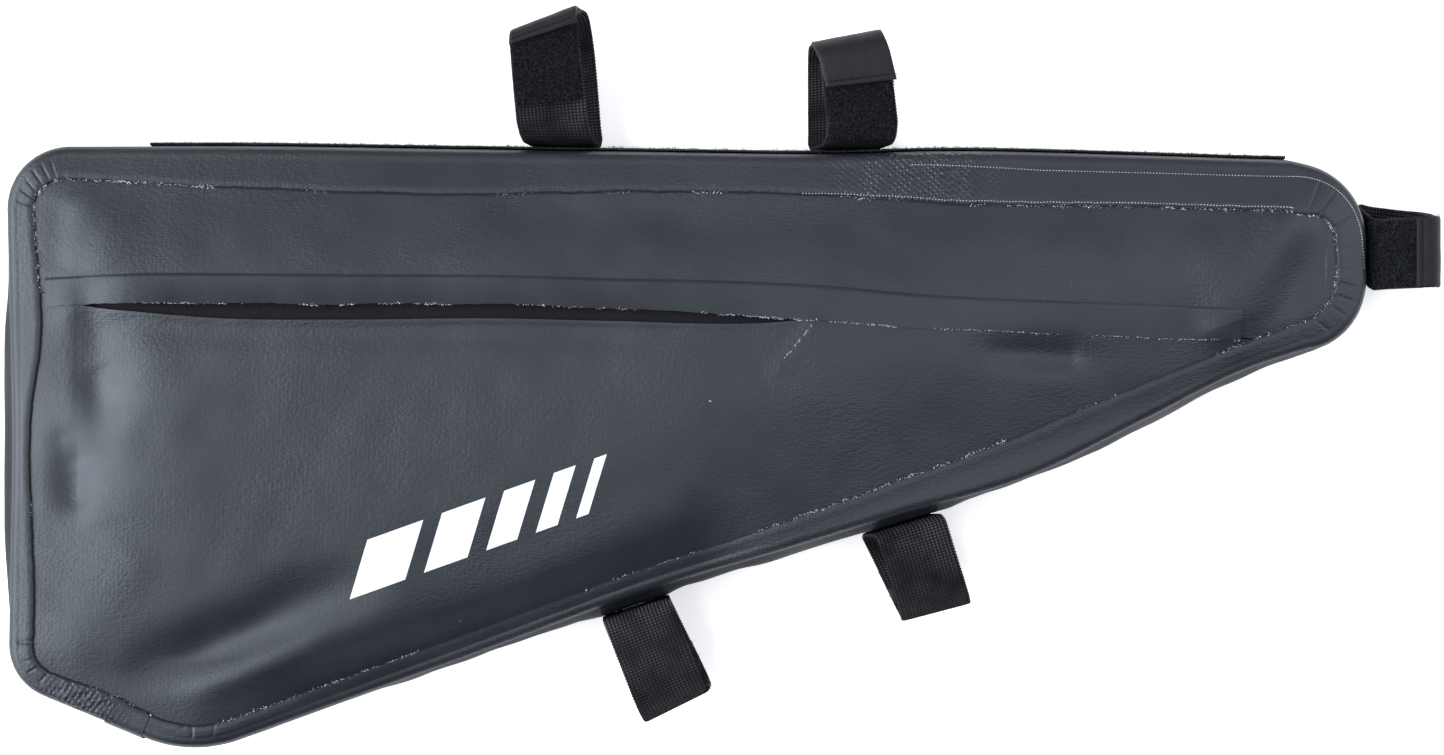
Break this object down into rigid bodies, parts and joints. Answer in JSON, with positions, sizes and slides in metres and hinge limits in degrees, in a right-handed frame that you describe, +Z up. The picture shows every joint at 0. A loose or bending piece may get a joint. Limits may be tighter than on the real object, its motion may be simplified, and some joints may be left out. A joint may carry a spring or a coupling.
{
  "type": "bicycle frame bag",
  "caption": "Long wedge-shaped frame bag of coated fabric with a flapped zip and hook and loop straps, lying flat on its back.",
  "frame": {"origin": "under the middle of the whole bounding box, on the surface the bag lies on", "axes": "+X along the bag to its blunt nose, +Y across to the straight top edge with two straps, +Z up through the bag's thickness to the zipped front"},
  "size_m": [0.5142, 0.2668, 0.055],
  "materials": {
    "coated_fabric": "welded coated fabric, matt with a soft sheen",
    "webbing": "ribbed woven webbing, matt",
    "pile": "loop pile, fuzzy",
    "smooth_end": "smooth backed hook tape, slight sheen",
    "zip_tape": "woven zip tape, matt"
  },
  "bodies": {
    "root": {"anchor_strip": "webbing", "back_border": "coated_fabric", "back_panel": "coated_fabric", "front_border": "coated_fabric", "gusset_joint": "coated_fabric", "gusset_wall": "coated_fabric", "lower_panel": "coated_fabric", "strap_low_left_pile": "pile", "strap_low_left_tab": "smooth_end", "strap_low_left_webbing": "webbing", "strap_low_right_pile": "pile", "strap_low_right_tab": "smooth_end", "strap_low_right_webbing": "webbing", "strap_nose_pile": "pile", "strap_nose_tab": "smooth_end", "strap_nose_webbing": "webbing", "strap_top_left_pile": "pile", "strap_top_left_tab": "smooth_end", "strap_top_left_webbing": "webbing", "strap_top_right_pile": "pile", "strap_top_right_tab": "smooth_end", "strap_top_right_webbing": "webbing", "upper_panel": "coated_fabric", "zip_flap": "coated_fabric", "zip_tape": "zip_tape"}
  },
  "joints": []
}
